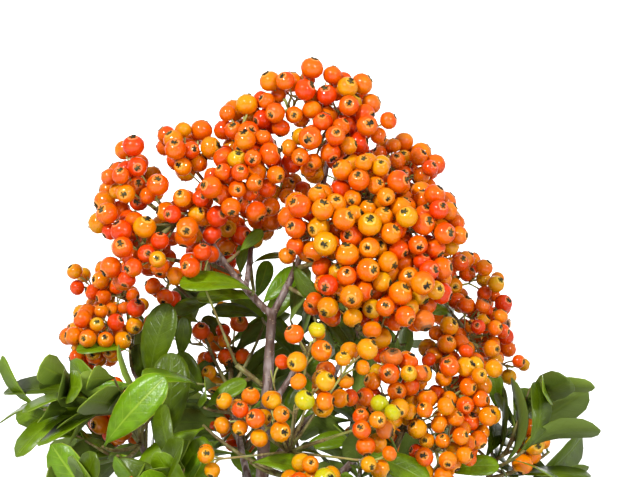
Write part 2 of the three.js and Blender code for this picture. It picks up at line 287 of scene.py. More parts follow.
fruitColours = {  # skin, flush, halo round the calyx, pale rim of the halo, reach of the halo
    "scarlet": ((216, 56, 0), (222, 70, 0), (190, 116, 34), (244, 166, 112), 0.46),
    "orange": ((222, 98, 0), (220, 72, 0), (196, 132, 32), (248, 176, 98), 0.46),
    "tangerine": ((224, 124, 0), (222, 98, 0), (192, 140, 30), (248, 186, 86), 0.47),
    "amber": ((218, 144, 2), (220, 122, 0), (180, 146, 32), (242, 196, 82), 0.49),
    "yellow": ((212, 156, 4), (220, 136, 2), (164, 152, 36), (234, 204, 88), 0.52),
    "unripe": ((180, 176, 8), (206, 172, 8), (130, 140, 42), (208, 206, 96), 0.5),
    "scabbed": ((226, 100, 8), (206, 106, 30), (112, 84, 52), (176, 122, 66), 0.78),
}
fruitGloss = {"Specular IOR Level": 0.06, "Coat Weight": 0.17, "Coat IOR": 2.5, "Coat Roughness": 0.06}
leafColours = {  # blade, vein, margin, underside
    "dark": ((74, 94, 4), (90, 110, 26), (90, 110, 26), (88, 106, 36)),
    "mid": ((98, 126, 6), (114, 140, 30), (118, 140, 36), (106, 126, 42)),
    "bright": ((98, 136, 8), (142, 168, 46), (144, 166, 46), (124, 148, 52)),
}
leafGloss = {"IOR": 1.36}
fruitRelief = (0.12, 0.3)  # strength, and depth in millimetres
leafRelief = (0.35, 0.35)
plainFinishes = {  # material, effect, its colours, relief, gloss
    # young bark: brown, paler streaks of grey skin and painted sheen, pale pores
    "bark": ("youngBark", barkSkin, ((92, 66, 54), (160, 144, 140), (176, 152, 128)), (0.5, 0.35),
             {"Specular IOR Level": 0.4}),
    "twig": ("twigBark", barkSkin, ((108, 90, 50), (136, 136, 76), (168, 152, 104)), (0.4, 0.2),
             {"Specular IOR Level": 0.4}),
    "stalk": ("stalkGreen", stalkSkin, ((162, 170, 82), (156, 134, 70)), (0.3, 0.15),
              {"Sheen Weight": 0.25}),
    "calyx": ("calyxBrown", stalkSkin, ((70, 62, 30), (24, 18, 10)), (0.4, 0.15),
              {"Specular IOR Level": 0.3}),
    "floor": ("paleFloor", stalkSkin, ((240, 240, 240), (236, 236, 237)), (0.02, 0.1),
              {"Specular IOR Level": 0.1}),
}


def makeFinishes():
    fruit = {name: (name + "Fruit", fruitSkin, values, fruitRelief, fruitGloss)
             for name, values in fruitColours.items()}
    leaves = {name: (name + "Leaf", leafBlade, values, leafRelief, leafGloss)
              for name, values in leafColours.items()}
    table = fruit | leaves | plainFinishes
    return {name: makeFinish(*values) for name, values in table.items()}


finishes = makeFinishes()
print("finishes mixed")


# The floor is a wide shallow bowl, so that it meets the light wall in no line.
def makeFloor():
    deselectAll()
    flat, wall, top = studio["floorRadius"], studio["wallRadius"], studio["wallHeight"]
    bpy.ops.mesh.primitive_circle_add(vertices=studio["sides"], radius=flat, fill_type="TRIFAN")
    floor = bpy.context.object
    floor.name = "floor"
    bpy.ops.object.mode_set(mode="EDIT")
    bpy.ops.mesh.select_all(action="SELECT")
    bpy.ops.mesh.region_to_loop()
    curve = wall - flat
    radius, height = flat, 0
    for i in range(studio["bendSteps"]):
        angle = (i + 1) / studio["bendSteps"] * math.pi / 2
        wider, higher = flat + curve * math.sin(angle), curve * (1 - math.cos(angle))
        bpy.ops.mesh.extrude_region_move(TRANSFORM_OT_translate={"value": (0, 0, higher - height)})
        bpy.ops.transform.resize(value=(wider / radius, wider / radius, 1))
        radius, height = wider, higher
    bpy.ops.mesh.extrude_region_move(TRANSFORM_OT_translate={"value": (0, 0, top - height)})
    bpy.ops.object.mode_set(mode="OBJECT")
    bpy.ops.object.shade_smooth()
    floor.data.materials.append(finishes["floor"])


makeFloor()
print("floor laid")

# The plant's plan: the sizes and rules of the frame's solids.
stem = {
    "height": 243,
    "lean": 2.7,
    "sway": 3,
    "depthSway": 0.4,  # of the sway
    "footRadius": 5,
    "forkRadius": 1.7,
    "flare": 3.4,
    "flareHeight": 10,
}
arms = [
    {"name": "arm_left", "tip": (-27, 2, 280), "knee": (-15, -1, 258)},
    {"name": "arm_right", "tip": (24, 9, 302), "knee": (19, 7, 271)},
]
arm = {"along": 0.995, "footRadius": 1.5, "tipRadius": 1.1}
bough = {
    "footRadius": 2.6,
    "slimming": 1.3,  # from the ground to the fork
    "tipRadius": 1.1,
    "entry": 0.55,  # how far from its spray's centre it ends, in reaches
    "shortest": 14,
    "knee": (0.6, 0.4),  # outward and upward, from foot to tip
}
corymb = {
    "radius": 12.5,
    "spread": 0.5,
    "setBack": 0.35,
    "fork": 0.6,  # from the spray's foot to its corymbs
    "splay": 1.5,
    "crowd": 6,  # so many have one of them in the middle of their ring
}
spaceGap = 1

# corymbs of fruit berries each stand in a ring, turned by so many degrees
# shoots bear the leaves, ripe and green name the colours dealt, and size scales the berries
# more holds corymbs past the ring: where the middle of each lies, and its berries
plainSpray = {"corymbs": 1, "ring": 0, "turn": 0, "fruit": 0, "shoots": 0, "ripe": "gold", "green": "mid",
              "size": 1, "more": ()}


# A spray leaves its carrier at a share of its length and faces an azimuth and an elevation.
def newSpray(name, carrier, along, centre, faces, reach, **rest):
    return plainSpray | {"name": name, "carrier": carrier, "along": along, "centre": centre,
                         "faces": faces, "reach": reach} | rest


sprays = [
    newSpray("left", "arm_left", 1, (-43, -3, 280), (252, 30), 40, corymbs=3, ring=17, turn=10, fruit=16,
             shoots=1, ripe="red", green="dark",
             more=[(-52, -6, 290, 5), (-40, -12, 263, 4), (-57, -4, 276, 3), (-50, -4, 300, 3),
                   (-42, -6, 287, 2)]),
    newSpray("top_left", "arm_left", 0.75, (-16, 0, 302), (255, 42), 38, corymbs=3, ring=16, turn=60,
             fruit=18, ripe="red", green="dark",
             more=[(-3, -6, 301, 9), (-8, -2, 316, 2), (-35, -4, 302, 1)]),
    newSpray("top", "arm_right", 1, (20, 0, 318), (280, 30), 40, corymbs=3, ring=14, turn=30, fruit=19,
             ripe="red", green="dark", more=[(14, 0, 333, 1), (41, -2, 313, 3), (23, 0, 330, 1)]),
    newSpray("right", "arm_right", 0.3, (41, -17, 270), (283, 14), 50, corymbs=6, ring=22, turn=18,
             fruit=23, green="dark", more=[(44, -22, 245, 8), (65, -12, 270, 3)]),
    newSpray("fork", "arm_left", 0.3, (-5, 28, 281), (270, 20), 34, fruit=13, shoots=6,
             more=[(5, 14, 290, 9), (-16, 18, 272, 6), (5, 24, 275, 2)]),
    newSpray("back_top", "arm_right", 0.6, (46, 40, 294), (65, 35), 43, corymbs=3, ring=15, turn=30,
             fruit=22, shoots=6, ripe="red", more=[(61, 20, 297, 3)]),
    newSpray("back_left", "arm_left", 0.55, (-38, 44, 266), (125, 35), 43, corymbs=2, ring=16, fruit=22,
             shoots=7, ripe="red", more=[(-41, 24, 251, 5)]),
    newSpray("shoulder_left", "stem", 0.6, (-67, 30, 238), (190, 22), 42, corymbs=3, ring=16, turn=90,
             fruit=27, shoots=8, size=0.84, more=[(-52, 18, 238, 6), (-74, 30, 254, 3)]),
    newSpray("shoulder_right", "stem", 0.64, (84, 34, 240), (350, 22), 42, corymbs=3, ring=17, turn=90,
             fruit=30, shoots=7, size=0.84, more=[(97, 30, 219, 4), (91, 34, 250, 3), (92, 34, 241, 3)]),
    newSpray("back", "stem", 0.75, (48, 74, 246), (85, 20), 46, corymbs=2, ring=20, fruit=22, shoots=12),
    newSpray("front", "stem", 0.56, (12, -52, 207), (277, 20), 42, corymbs=3, ring=20, turn=165, fruit=7,
             shoots=9, ripe="ripening", size=0.84,
             more=[(-17, -55, 197, 3), (17, -50, 234, 5), (31, -50, 229, 4), (5, -54, 209, 5),
                   (18, -56, 220, 3), (38, -48, 208, 8), (38, -52, 196, 4), (4, -50, 226, 1),
                   (12, -56, 215, 2)]),
    newSpray("lower_right", "stem", 0.53, (62, -16, 210), (305, 20), 42, corymbs=3, ring=18, turn=30,
             fruit=24, shoots=11, ripe="sunny", green="dark", size=0.88,
             more=[(66, 8, 230, 8), (77, -6, 201, 8), (61, -24, 207, 4), (79, -8, 218, 3)]),
    newSpray("far_right", "stem", 0.48, (103, 3, 192), (340, 5), 40, fruit=6, shoots=14, ripe="sunny",
             green="dark"),
    newSpray("lower_left", "stem", 0.5, (-58, -10, 214), (200, 20), 42, fruit=2, shoots=15, ripe="red"),
    newSpray("front_left", "stem", 0.4, (-40, -40, 182), (235, 15), 42, fruit=5, shoots=18,
             ripe="ripening", green="bright"),
    newSpray("inner_front", "stem", 0.88, (-22, -16, 236), (250, 30), 44, corymbs=0, shoots=7,
             more=[(-26, -8, 262, 5)]),
    newSpray("inner_right", "stem", 0.85, (24, 6, 238), (280, 10), 40, fruit=1, shoots=9, green="dark"),
    newSpray("inner_left", "stem", 0.675, (-20, 38, 226), (250, 20), 36, fruit=7, shoots=14,
             green="dark", size=0.88, more=[(-14, 40, 237, 4), (-22, 36, 215, 5), (-30, 34, 230, 1)]),
]
tiers = [
    dict(name="rear", count=3, start=40, step=62, along=0.37, climb=0.02, height=188, spread=62,
         reach=46, shoots=14),
    dict(name="middle", count=4, start=10, step=92, along=0.25, climb=0.035, height=132, spread=60,
         reach=50, shoots=15),
    dict(name="low", count=4, start=55, step=88, along=0.1, climb=0.035, height=72, spread=52,
         reach=48, shoots=15),
]
tierSpray = {"elevation": 8, "turn": 20, "fruit": 14}


def vec(values):
    return np.array(values, float)


def gather(rows, key):
    return np.array([row[key] for row in rows])


def mix(low, high, share):
    return low + (high - low) * share


def unit(way):
    return way / np.linalg.norm(way)


def lengths(ways):
    return np.linalg.norm(ways, axis=-1)


def units(ways, shortest=0.0):
    return ways / np.maximum(lengths(ways), shortest)[:, None]


def direction(azimuth, elevation):
    turn, rise = math.radians(azimuth), math.radians(elevation)
    return vec((math.cos(rise) * math.cos(turn), math.cos(rise) * math.sin(turn), math.sin(rise)))


def squareTo(way):
    side = vec((-way[1], way[0], 0))
    side = unit(side) if np.linalg.norm(side) > 1e-6 else vec((1, 0, 0))
    return side, np.cross(way, side)


def aroundAxis(axis, lean, turn):
    side, rise = squareTo(axis)
    return axis * math.cos(lean) + (side * math.cos(turn) + rise * math.sin(turn)) * math.sin(lean)


# A small generator of its own, so that every run draws the same numbers.
def seededRandom(seed):
    state = (seed + 1) * 2654435761 % 2**32

    def draw(low=0.0, high=1.0):
        nonlocal state
        state = (state * 1664525 + 1013904223) % 2**32
        return mix(low, high, state / 2**32)
    return draw


def bend(foot, knee, tip):
    return lambda share: (1 - share) ** 2 * foot + 2 * share * (1 - share) * knee + share**2 * tip


def stemPoint(share):
    sideways = stem["lean"] * share**3 - stem["sway"] * math.sin(math.pi * share)
    inward = stem["depthSway"] * stem["sway"] * math.sin(2 * math.pi * share)
    return vec((sideways, inward, stem["height"] * share))


def stemRadius(share):
    flare = stem["flare"] * math.exp(-share * stem["height"] / stem["flareHeight"])
    return mix(stem["footRadius"], stem["forkRadius"], share) + flare


def tierSprays(tier):
    for i in range(tier["count"]):
        azimuth = tier["start"] + tier["step"] * i
        out = direction(azimuth, 0) * tier["spread"]
        height = tier["height"] + tier["climb"] * stem["height"] * i
        yield newSpray(f"{tier['name']}_{i + 1}", "stem", tier["along"] + tier["climb"] * i,
                       (out[0], out[1], height), (azimuth, tierSpray["elevation"]), tier["reach"],
                       turn=tierSpray["turn"], fruit=tierSpray["fruit"], shoots=tier["shoots"])


def taperedLimb(path, footRadius, tipRadius):
    return {"path": path, "radius": lambda share: mix(footRadius, tipRadius, share)}


def planLimbs():
    limbs = {"stem": {"path": stemPoint, "radius": stemRadius}}
    for plan in arms:
        path = bend(stemPoint(arm["along"]), vec(plan["knee"]), vec(plan["tip"]))
        limbs[plan["name"]] = taperedLimb(path, arm["footRadius"], arm["tipRadius"])
    for spray in sprays:
        foot = limbs[spray["carrier"]]["path"](spray["along"])
        tip = vec(spray["centre"])
        tip = tip + unit(foot - tip) * bough["entry"] * spray["reach"]
        if np.linalg.norm(foot - tip) < bough["shortest"]:
            continue
        outward, upward = bough["knee"]
        knee = mix(foot, tip, outward)
        knee[2] = mix(foot[2], tip[2], upward)
        slimmed = bough["footRadius"] - bough["slimming"] * foot[2] / stem["height"]
        footRadius = max(slimmed, bough["tipRadius"])
        limbs["bough_" + spray["name"]] = taperedLimb(bend(foot, knee, tip), footRadius, bough["tipRadius"])
    return limbs


# The stem of a spray runs to a fork, and a shoot runs from the fork to each corymb.
def planSpray(spray):
    own = limbs.get("bough_" + spray["name"])
    foot = own["path"](1) if own else limbs[spray["carrier"]]["path"](spray["along"])
    axis, centre = direction(*spray["faces"]), vec(spray["centre"])
    fork = mix(foot, centre - axis * corymb["radius"], corymb["fork"])
    inRing = spray["corymbs"] - 1 if spray["corymbs"] >= corymb["crowd"] else spray["corymbs"]
    heads = []
    for i in range(spray["corymbs"]):
        outward = aroundAxis(axis, math.pi / 2, math.radians(spray["turn"]) + 2 * math.pi * i / inRing)
        offset = spray["ring"] if i < inRing else 0
        aim = unit(axis + outward * corymb["spread"]) if offset else axis
        middle = centre + outward * offset - aim * corymb["setBack"] * corymb["radius"]
        heads.append((middle, aim, spray["fruit"]))
    for *place, count in spray["more"]:
        middle = vec(place)
        heads.append((middle, unit(axis + unit(middle - fork) * corymb["splay"]), count))
    return {"foot": foot, "fork": fork, "heads": heads}


sprays += [spray for tier in tiers for spray in tierSprays(tier)]
centres = gather(sprays, "centre")
reaches = gather(sprays, "reach")
limbs = planLimbs()
plans = [planSpray(spray) for spray in sprays]
stations = np.linspace(0, 1, 60)
limbPoints = np.array([limb["path"](share) for limb in limbs.values() for share in stations])
limbThickness = np.array([limb["radius"](share) for limb in limbs.values() for share in stations])


# How far points lie inside a spray's space: the ball of its reach, less its neighbours' shares of it
# and what is under the ground.
def depthInSpace(points, owner):
    power = ((points[:, None] - centres) ** 2).sum(2) - reaches**2
    others = np.arange(len(centres)) != owner
    apart = lengths(centres[others] - centres[owner])
    planes = (power[:, others] - power[:, [owner]]) / (2 * apart) - spaceGap / 2
    ball = reaches[owner] - lengths(points - centres[owner])
    return np.column_stack([planes, ball, points[:, 2] - spaceGap])


def insideSpace(points, owner, margin=0.0):
    return depthInSpace(np.atleast_2d(points), owner).min() > margin


def clearOfLimbs(points, margin):
    return (lengths(points[:, None] - limbPoints) - limbThickness).min() > margin


sprayNodes = [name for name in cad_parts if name.startswith("spray_")]
limbNodes = [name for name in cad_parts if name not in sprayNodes]


def newPiece(name, mesh, finish, replaced):
    piece = bpy.data.objects.new(name, mesh)
    bpy.context.scene.collection.objects.link(piece)
    mesh.name = name
    mesh.materials.clear()
    mesh.materials.append(finishes[finish])
    mesh.shade_smooth()
    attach(piece, "root")
    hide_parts(*replaced)
    return piece


# A mesh from places in millimetres, the corners of its faces and where each face starts.
def meshFrom(places, corners, starts):
    mesh = bpy.data.meshes.new("joined")
    mesh.vertices.add(len(places))
    mesh.vertices.foreach_set("co", (places * metre).astype(np.float32).ravel())
    mesh.loops.add(len(corners))
    mesh.loops.foreach_set("vertex_index", corners.astype(np.int32))
    mesh.polygons.add(len(starts))
    mesh.polygons.foreach_set("loop_start", starts.astype(np.int32))
    mesh.update(calc_edges=True)
    return mesh


def readOut(rows, label, kind, width=1):
    values = np.empty(len(rows) * width, kind)
    rows.foreach_get(label, values)
    return values


# Many copies of one modelled shape in one mesh. Each copy is given by a place and three axes.
def copiesMesh(shape, copies):
    source = shape.data
    places = readOut(source.vertices, "co", np.float32, 3).reshape(-1, 3)
    corners = readOut(source.loops, "vertex_index", np.int32)
    starts = readOut(source.polygons, "loop_start", np.int32)
    origins = np.array([place for place, _ in copies])
    axes = np.array([turn for _, turn in copies])  # rows are the axes, each as long as the scale
    turned = np.einsum("ni,cij->cnj", places, axes) + origins[:, None]
    steps = np.arange(len(copies))[:, None]
    mesh = meshFrom(turned.reshape(-1, 3), (corners + steps * len(places)).ravel(),
                    (starts + steps * len(corners)).ravel())
    for layer in source.uv_layers:
        points = readOut(layer.uv, "vector", np.float32, 2)
        mesh.uv_layers.new(name=layer.name).uv.foreach_set("vector", np.tile(points, len(copies)))
    for label in ("calyx", "underside"):
        if label in source.attributes:
            marks = source.attributes[label]
            values = readOut(marks.data, "value", np.float32)
            copied = mesh.attributes.new(label, "FLOAT", marks.domain)
            copied.data.foreach_set("value", np.tile(values, len(copies)))
    return mesh


# A closed tube through points, with a radius at each.
def tubeShell(points, radii, sides):
    runs = units(np.gradient(points, axis=0))
    side = squareTo(runs[0])[0]
    angles = np.arange(sides) * 2 * math.pi / sides
    rings = []
    for point, run, radius in zip(points, runs, radii):
        side = unit(side - run * side.dot(run))
        around = np.outer(np.cos(angles), side) + np.outer(np.sin(angles), np.cross(run, side))
        rings.append(point + around * radius)
    faces = [list(range(sides))[::-1]]
    for near in range(0, (len(points) - 1) * sides, sides):
        far = near + sides
        for j in range(sides):
            following = (j + 1) % sides
            faces.append([near + j, near + following, far + following, far + j])
    faces.append([(len(points) - 1) * sides + j for j in range(sides)])
    return np.concatenate(rings), faces


def tubesMesh(tubes):
    places, corners, starts, used = [], [], [], 0
    for points, faces in (tubeShell(*tube) for tube in tubes):
        for face in faces:
            starts.append(len(corners))
            corners.extend(corner + used for corner in face)
        places.append(points)
        used += len(points)
    return meshFrom(np.concatenate(places), np.array(corners), np.array(starts))


def selectPoints(piece, chosen):
    bpy.ops.object.mode_set(mode="EDIT")
    bpy.ops.mesh.select_mode(type="VERT")
    bpy.ops.mesh.select_all(action="DESELECT")
    bpy.ops.object.mode_set(mode="OBJECT")
    for point in piece.data.vertices:
        point.select = bool(chosen(point.co))
    bpy.ops.object.mode_set(mode="EDIT")


bark = {
    "steps": 46,
    "roundness": 5,
    "swelling": 0.07,  # of the radius, at the knots
    "knotGap": 17,
    "buried": 3,  # what the level cut takes off the stem's foot
    "grain": 0.55,  # size of the voxels that fuse the limbs, in millimetres
    "softening": 0.5,
    "reliefs": [  # kind, size, depth and stretch along the stem
        ("ridges", "CLOUDS", 2.2, 0.35, 4),
        ("pimples", "STUCCI", 1.1, 0.22, 0.8),
    ],
}


def limbCurve(name, limb):
    path = limb["path"]
    length = np.linalg.norm(path(1) - path(0))
    curve = bpy.data.curves.new(name, "CURVE")
    curve.dimensions = "3D"
    curve.bevel_depth = metre
    curve.bevel_resolution = bark["roundness"]
    curve.use_fill_caps = True
    line = curve.splines.new("POLY")
    line.points.add(bark["steps"])
    for i, point in enumerate(line.points):
        share = i / bark["steps"]
        knot = max(0, math.cos(2 * math.pi * share * length / bark["knotGap"])) ** 6
        buried = bark["buried"] if name == "stem" and i == 0 else 0
        point.co = (*((path(share) - vec((0, 0, buried))) * metre), 1)
        point.radius = limb["radius"](share) * (1 + bark["swelling"] * knot)
    made = bpy.data.objects.new(name, curve)
    bpy.context.scene.collection.objects.link(made)
    return made


def addRelief(piece, label, kind, size, depth, stretch):
    grain = bpy.data.textures.new(label, kind)
    grain.noise_scale = size * metre
    deselectAll()
    bpy.ops.object.empty_add(location=(0, 0, 0))
    guide = bpy.context.object
    guide.scale = (1, 1, stretch)
    bpy.context.view_layer.update()
    relief = piece.modifiers.new(label, "DISPLACE")
    relief.texture = grain
    relief.texture_coords = "OBJECT"
    relief.texture_coords_object = guide
    relief.strength = depth * metre
    relief.mid_level = 0.5
    applyAll(piece)
    bpy.data.objects.remove(guide)


# One bark skin over stem, arms and boughs, cut off level with the ground.
def makeLimbs():
    made = [limbCurve(name, limb) for name, limb in limbs.items()]
    selectOnly(*made)
    bpy.ops.object.convert(target="MESH")
    bpy.ops.object.join()
    wood = bpy.context.object
    fused = wood.modifiers.new("fused", "REMESH")
    fused.mode = "VOXEL"
    fused.voxel_size = bark["grain"] * metre
    fused.use_smooth_shade = True
    softened = wood.modifiers.new("softened", "SMOOTH")
    softened.factor = bark["softening"]
    softened.iterations = 2
    applyAll(wood)
    for values in bark["reliefs"]:
        addRelief(wood, *values)
    selectOnly(wood)
    bpy.ops.object.mode_set(mode="EDIT")
    bpy.ops.mesh.select_all(action="SELECT")
    bpy.ops.mesh.bisect(plane_co=(0, 0, 0), plane_no=(0, 0, 1), use_fill=True, clear_inner=True,
                        threshold=1e-7)
    bpy.ops.object.mode_set(mode="OBJECT")
    newPiece("barkLimbs", wood.data, "bark", limbNodes)
    bpy.data.objects.remove(wood)


makeLimbs()
print("limbs grown")

fruiting = {
    "spread": 11.8,  # from a full corymb's middle to its outer berries
    "full": 22,
    "loosening": 0.32,  # how much narrower a corymb of fewer berries is
    "evenness": (0.92, 1.1),  # share of the spread, drawn for each corymb
    "widest": 104,  # degrees from its axis to its last berry
    "swirl": 0.9,  # radians drawn on top of the golden angle
    "inner": 4,  # every so many berries one stands deeper
    "innerShare": 0.62,
    "outerShare": (0.86, 1.12),
    "radius": 4.0,
    "radiusShare": (0.8, 1.13),
    "rounds": 60,  # of nudging apart
    "home": 0.03,  # share of the way back that each round draws a berry
    "neighbour": 16,  # berries that start farther apart are taken never to touch
    "offLimbs": 0.5,
    "tooClose": 0.55,  # by how much two may overlap
    "inside": 0.1,  # share of a berry's radius that stays inside its spray's space
    "outside": 0.5,  # how far its middle may end up past it
}

clearings = [  # boxes that no berry lies in
    ((-57.5, 15, 249.5), (-46, 45, 257)),  # behind and under the left corymbs
    ((-48, -12, 253), (-40, 0, 258)),
    ((-67, -16, 259.5), (-57.5, 40, 268.5)),  # beside them
    ((-40, 40, 262), (-33, 56, 269)),
    ((-32, -12, 287.5), (-26, 8, 294)),  # between the left corymbs and the top ones
    ((5, -6, 318), (12, 4, 326)),
    ((21, 25, 293), (28, 42, 301)),  # behind the right arm's tip
    ((81, 15, 238), (85, 60, 254)),  # within the right shoulder
    ((55, 0, 226), (62, 14, 236)),  # over the lower right corymbs
]

ripeness = {  # shares of each colour in a spray, in the order of fruitColours
    "red": (0.18, 0.48, 0.21, 0.09, 0.03, 0, 0.01),
    "gold": (0.09, 0.32, 0.32, 0.18, 0.06, 0, 0.03),
    "sunny": (0.05, 0.25, 0.3, 0.26, 0.11, 0, 0.03),
    "ripening": (0.01, 0.12, 0.28, 0.37, 0.13, 0.07, 0.02),
}


# The label within whose share a drawn number falls.
def deal(labels, shares, share):
    for label, part in zip(labels, shares):
        share -= part
        if share < 0:
            return label
    return label


# The berries of a corymb wind round its axis from the tip down.
def plantBerries():
    berries = []
    widest = math.radians(fruiting["widest"])
    for owner, (spray, plan) in enumerate(zip(sprays, plans)):
        random = seededRandom(owner)
        for head, (middle, aim, count) in enumerate(plan["heads"]):
            crowding = (count / fruiting["full"]) ** fruiting["loosening"]
            spread = fruiting["spread"] * crowding * random(*fruiting["evenness"])
            for i in range(count):
                lean = math.acos(1 - (i + 0.5) / count * (1 - math.cos(widest)))
                way = aroundAxis(aim, lean, goldenAngle * i + random(0, fruiting["swirl"]))
                deeper = i % fruiting["inner"] == 2
                out = fruiting["innerShare"] if deeper else random(*fruiting["outerShare"])
                radius = fruiting["radius"] * spray["size"] * random(*fruiting["radiusShare"])
                berries.append({
                    "owner": owner,
                    "head": head,
                    "place": middle + way * spread * out,
                    "radius": radius,
                    "tilt": (random(-1, 1), random(-1, 1)),
                    "kind": deal(fruitColours, ripeness[spray["ripe"]], random()),
                })
    return berries


def inAnyBox(points, boxes):
    return any(((points > low) & (points < high)).all(axis=-1).any() for low, high in boxes)


def pushApart(places, radii, first, second):
    gap = places[first] - places[second]
    length = np.maximum(lengths(gap), 1e-6)
    over = np.maximum(radii[first] + radii[second] - length, 0)
    push = gap * (over / length * 0.5)[:, None]
    np.add.at(places, first, push)
    np.add.at(places, second, -push)


def pushOffLimbs(places, radii):
    gap = places[:, None] - limbPoints
    length = lengths(gap)
    over = (radii[:, None] + limbThickness + fruiting["offLimbs"]) - length
    worst = over.argmax(axis=1)
    rows = np.arange(len(places))
    amount = np.maximum(over[rows, worst], 0) / length[rows, worst]
    places += gap[rows, worst] * amount[:, None]


def pullIntoSpace(places, radii, owners):
    for owner in np.unique(owners):
        own = owners == owner
        others = np.arange(len(centres)) != owner
        depth = depthInSpace(places[own], owner) - radii[own][:, None] * fruiting["inside"]
        back = np.minimum(depth, 0)
        inward = units(centres[owner] - places[own], 1e-6)
        places[own] += back[:, :-2] @ units(centres[others] - centres[owner]) - inward * back[:, [-2]]
        places[own, 2] -= back[:, -1]


# Berries that still touch each other or a limb, lie in a clearing or leave their space are dropped.
def keepClearBerries(berries, places, radii):
    kept = []
    for i, (berry, place, radius) in enumerate(zip(berries, places, radii)):
        touching = lengths(places[kept] - place) < radii[kept] + radius - fruiting["tooClose"]
        inside = insideSpace(place, berry["owner"], -fruiting["outside"])
        free = inside and not inAnyBox(place, clearings) and clearOfLimbs(place[None], radius)
        if free and not touching.any():
            berry["place"] = place
            kept.append(i)
    return [berries[i] for i in kept]


# Berries push each other apart, off the limbs and back into their spray's space.
def settleBerries(berries):
    homes, radii, owners = [gather(berries, key) for key in ("place", "radius", "owner")]
    first, second = np.nonzero(np.triu(lengths(homes[:, None] - homes) < fruiting["neighbour"], 1))
    places = homes.copy()
    for _ in range(fruiting["rounds"]):
        places += (homes - places) * fruiting["home"]
        pushApart(places, radii, first, second)
        pushOffLimbs(places, radii)
        pullIntoSpace(places, radii, owners)
    return keepClearBerries(berries, places, radii)


stalkPlan = {
    "shoot": ((0.82, 0.74, 0.66, 0.55), 6),  # radii from foot to tip, and sides
    "branch": ((0.6, 0.55, 0.46), 5),
    "stalk": ((0.42, 0.36, 0.38, 0.5), 4),
    "stations": (0, 0.35, 0.7, 1),  # of a stalk
    "branches": 7,
    "thinnest": 0.35,
    "stouter": 0.05,  # for each berry of the corymb
    "start": (0.4, 0.75),  # where the shoot leaves the twig and bends, from fork to middle
    "end": (0.35, 0.05),  # past the middle: at most, and for each berry, in corymb radii
    "firstBranch": 0.15,
    "spacing": (0.7, 1.6),  # of the branches along the shoot, over a lean of so many radians
    "away": 0.3,  # a stalk points away from here between its knot and the middle
    "tilt": 0.28,
    "bend": 2.2,
    "sunk": 0.8,  # how far from a berry's middle its stalk ends, in radii
}


# The shoot of a corymb of few berries is thin.
def stoutness(count):
    return min(1, stalkPlan["thinnest"] + stalkPlan["stouter"] * count)


# A stalk runs from its knot to a berry and bends into the berry's own axis.
def berryStalk(berry, knot, middle):
    outward = unit(berry["place"] - mix(knot, middle, stalkPlan["away"]))
    side, rise = squareTo(outward)
    tilt = side * berry["tilt"][0] + rise * berry["tilt"][1]
    berry["way"] = unit(outward + tilt * stalkPlan["tilt"])
    back = berry["place"] - berry["way"] * berry["radius"] * stalkPlan["sunk"]
    curve = bend(knot, back - berry["way"] * stalkPlan["bend"], back)
    return np.array([curve(share) for share in stalkPlan["stations"]]), *stalkPlan["stalk"]


# The stalks of neighbouring berries join in a branch, and the branches leave the shoot one by one.
def corymbStalks(own, fork, middle, aim):
    most, each = stalkPlan["end"]
    end = middle + aim * corymb["radius"] * min(most, each * len(own))
    foot, start = [mix(fork, middle, share) for share in stalkPlan["start"]]
    radii, sides = stalkPlan["shoot"]
    yield np.array([foot, start, middle, end]), np.array(radii) * stoutness(len(own)), sides
    count = stalkPlan["branches"]
    spacing, widest = stalkPlan["spacing"]
    branches = np.array([aroundAxis(aim, math.acos(1 - (i + 0.5) / count), goldenAngle * i)
                         for i in range(count)])
    ways = units(gather(own, "place") - middle)
    nearest = (ways @ branches.T).argmax(axis=1)
    for i, way in enumerate(branches):
        group = [berry for berry, branch in zip(own, nearest) if branch == i]
        if not group:
            continue
        lean = math.acos(max(-1, min(1, way.dot(aim))))
        knot = root = mix(end, start, stalkPlan["firstBranch"] + spacing * lean / widest)
        if len(group) > 1:
            knot = mix(root, gather(group, "place").mean(axis=0), 0.5)
            yield np.array([root, mix(root, knot, 0.5), knot]), *stalkPlan["branch"]
        for berry in group:
            yield berryStalk(berry, knot, middle)


def makeStalks(berries):
    stalks = []
    for owner, plan in enumerate(plans):
        for head, (middle, aim, _) in enumerate(plan["heads"]):
            own = [berry for berry in berries if (berry["owner"], berry["head"]) == (owner, head)]
            if own:
                stalks.extend(corymbStalks(own, plan["fork"], middle, aim))
    return stalks


berryForm = {
    "segments": 12,
    "rings": 7,
    "spin": 3,
    "dimple": 0.16,
    "shoulder": 0.9,
    "squatness": 0.92,
    "haloReach": 0.78,
}
calyxForm = {
    "sepals": 5,
    "radius": 0.36,
    "height": 0.83,
    "notch": 0.28,
    "lift": 0.06,
    "peak": 0.03,
    "thickness": 0.08,
    "unevenness": 0.16,
}


def makeBerryShape():
    deselectAll()
    bpy.ops.mesh.primitive_uv_sphere_add(segments=berryForm["segments"], ring_count=berryForm["rings"],
                                         radius=1)
    shape = bpy.context.object
    shape.name = "berryShape"
    selectPoints(shape, lambda point: point.z > 0.99)
    bpy.ops.transform.translate(value=(0, 0, -berryForm["dimple"]))
    selectPoints(shape, lambda point: 0.85 < point.z < 0.95)
    bpy.ops.transform.resize(value=(berryForm["shoulder"], berryForm["shoulder"], 1))
    bpy.ops.transform.translate(value=(0, 0, 0.02))
    selectPoints(shape, lambda point: True)
    bpy.ops.transform.resize(value=(1, 1, berryForm["squatness"]), center_override=(0, 0, 0))
    bpy.ops.object.mode_set(mode="OBJECT")
    halo = shape.data.attributes.new("calyx", "FLOAT", "POINT")
    for mark, point in zip(halo.data, shape.data.vertices):
        wide = math.hypot(point.co.x, point.co.y)
        mark.value = max(0, 1 - wide / berryForm["haloReach"]) if point.co.z > 0 else 0
    return shape


